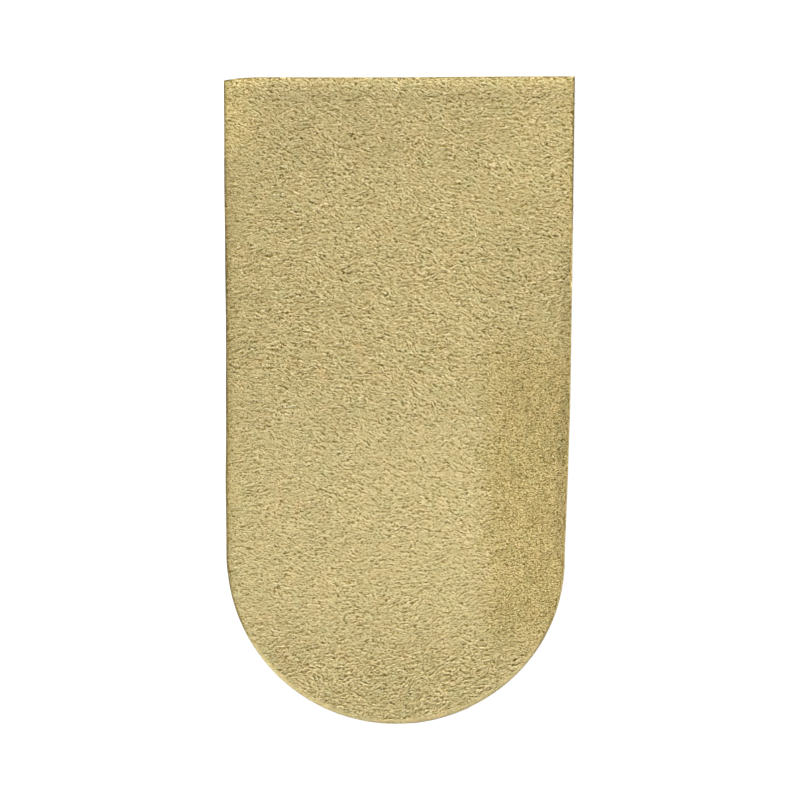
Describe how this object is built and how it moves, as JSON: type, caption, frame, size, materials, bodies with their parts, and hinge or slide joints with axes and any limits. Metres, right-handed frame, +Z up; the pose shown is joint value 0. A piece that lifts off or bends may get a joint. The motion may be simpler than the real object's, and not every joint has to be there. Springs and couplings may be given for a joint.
{
  "type": "heel lift",
  "caption": "Tapered heel lift for a shoe: a firm rubber wedge under a brushed suede cover, round at the heel and straight across its thin front edge.",
  "frame": {"origin": "on the flat sole, under the middle of the lift's box", "axes": "+Y towards the thin straight front edge, -Y towards the round heel, +X to the long side that draws in more, +Z up"},
  "size_m": [0.057, 0.1054, 0.0095],
  "materials": {
    "wedge": "matt dark rubber with cut, faintly ground sides",
    "top_cover": "tan brushed synthetic suede with a short nap"
  },
  "bodies": {
    "root": {"wedge": "wedge", "top_cover": "top_cover"}
  },
  "joints": []
}
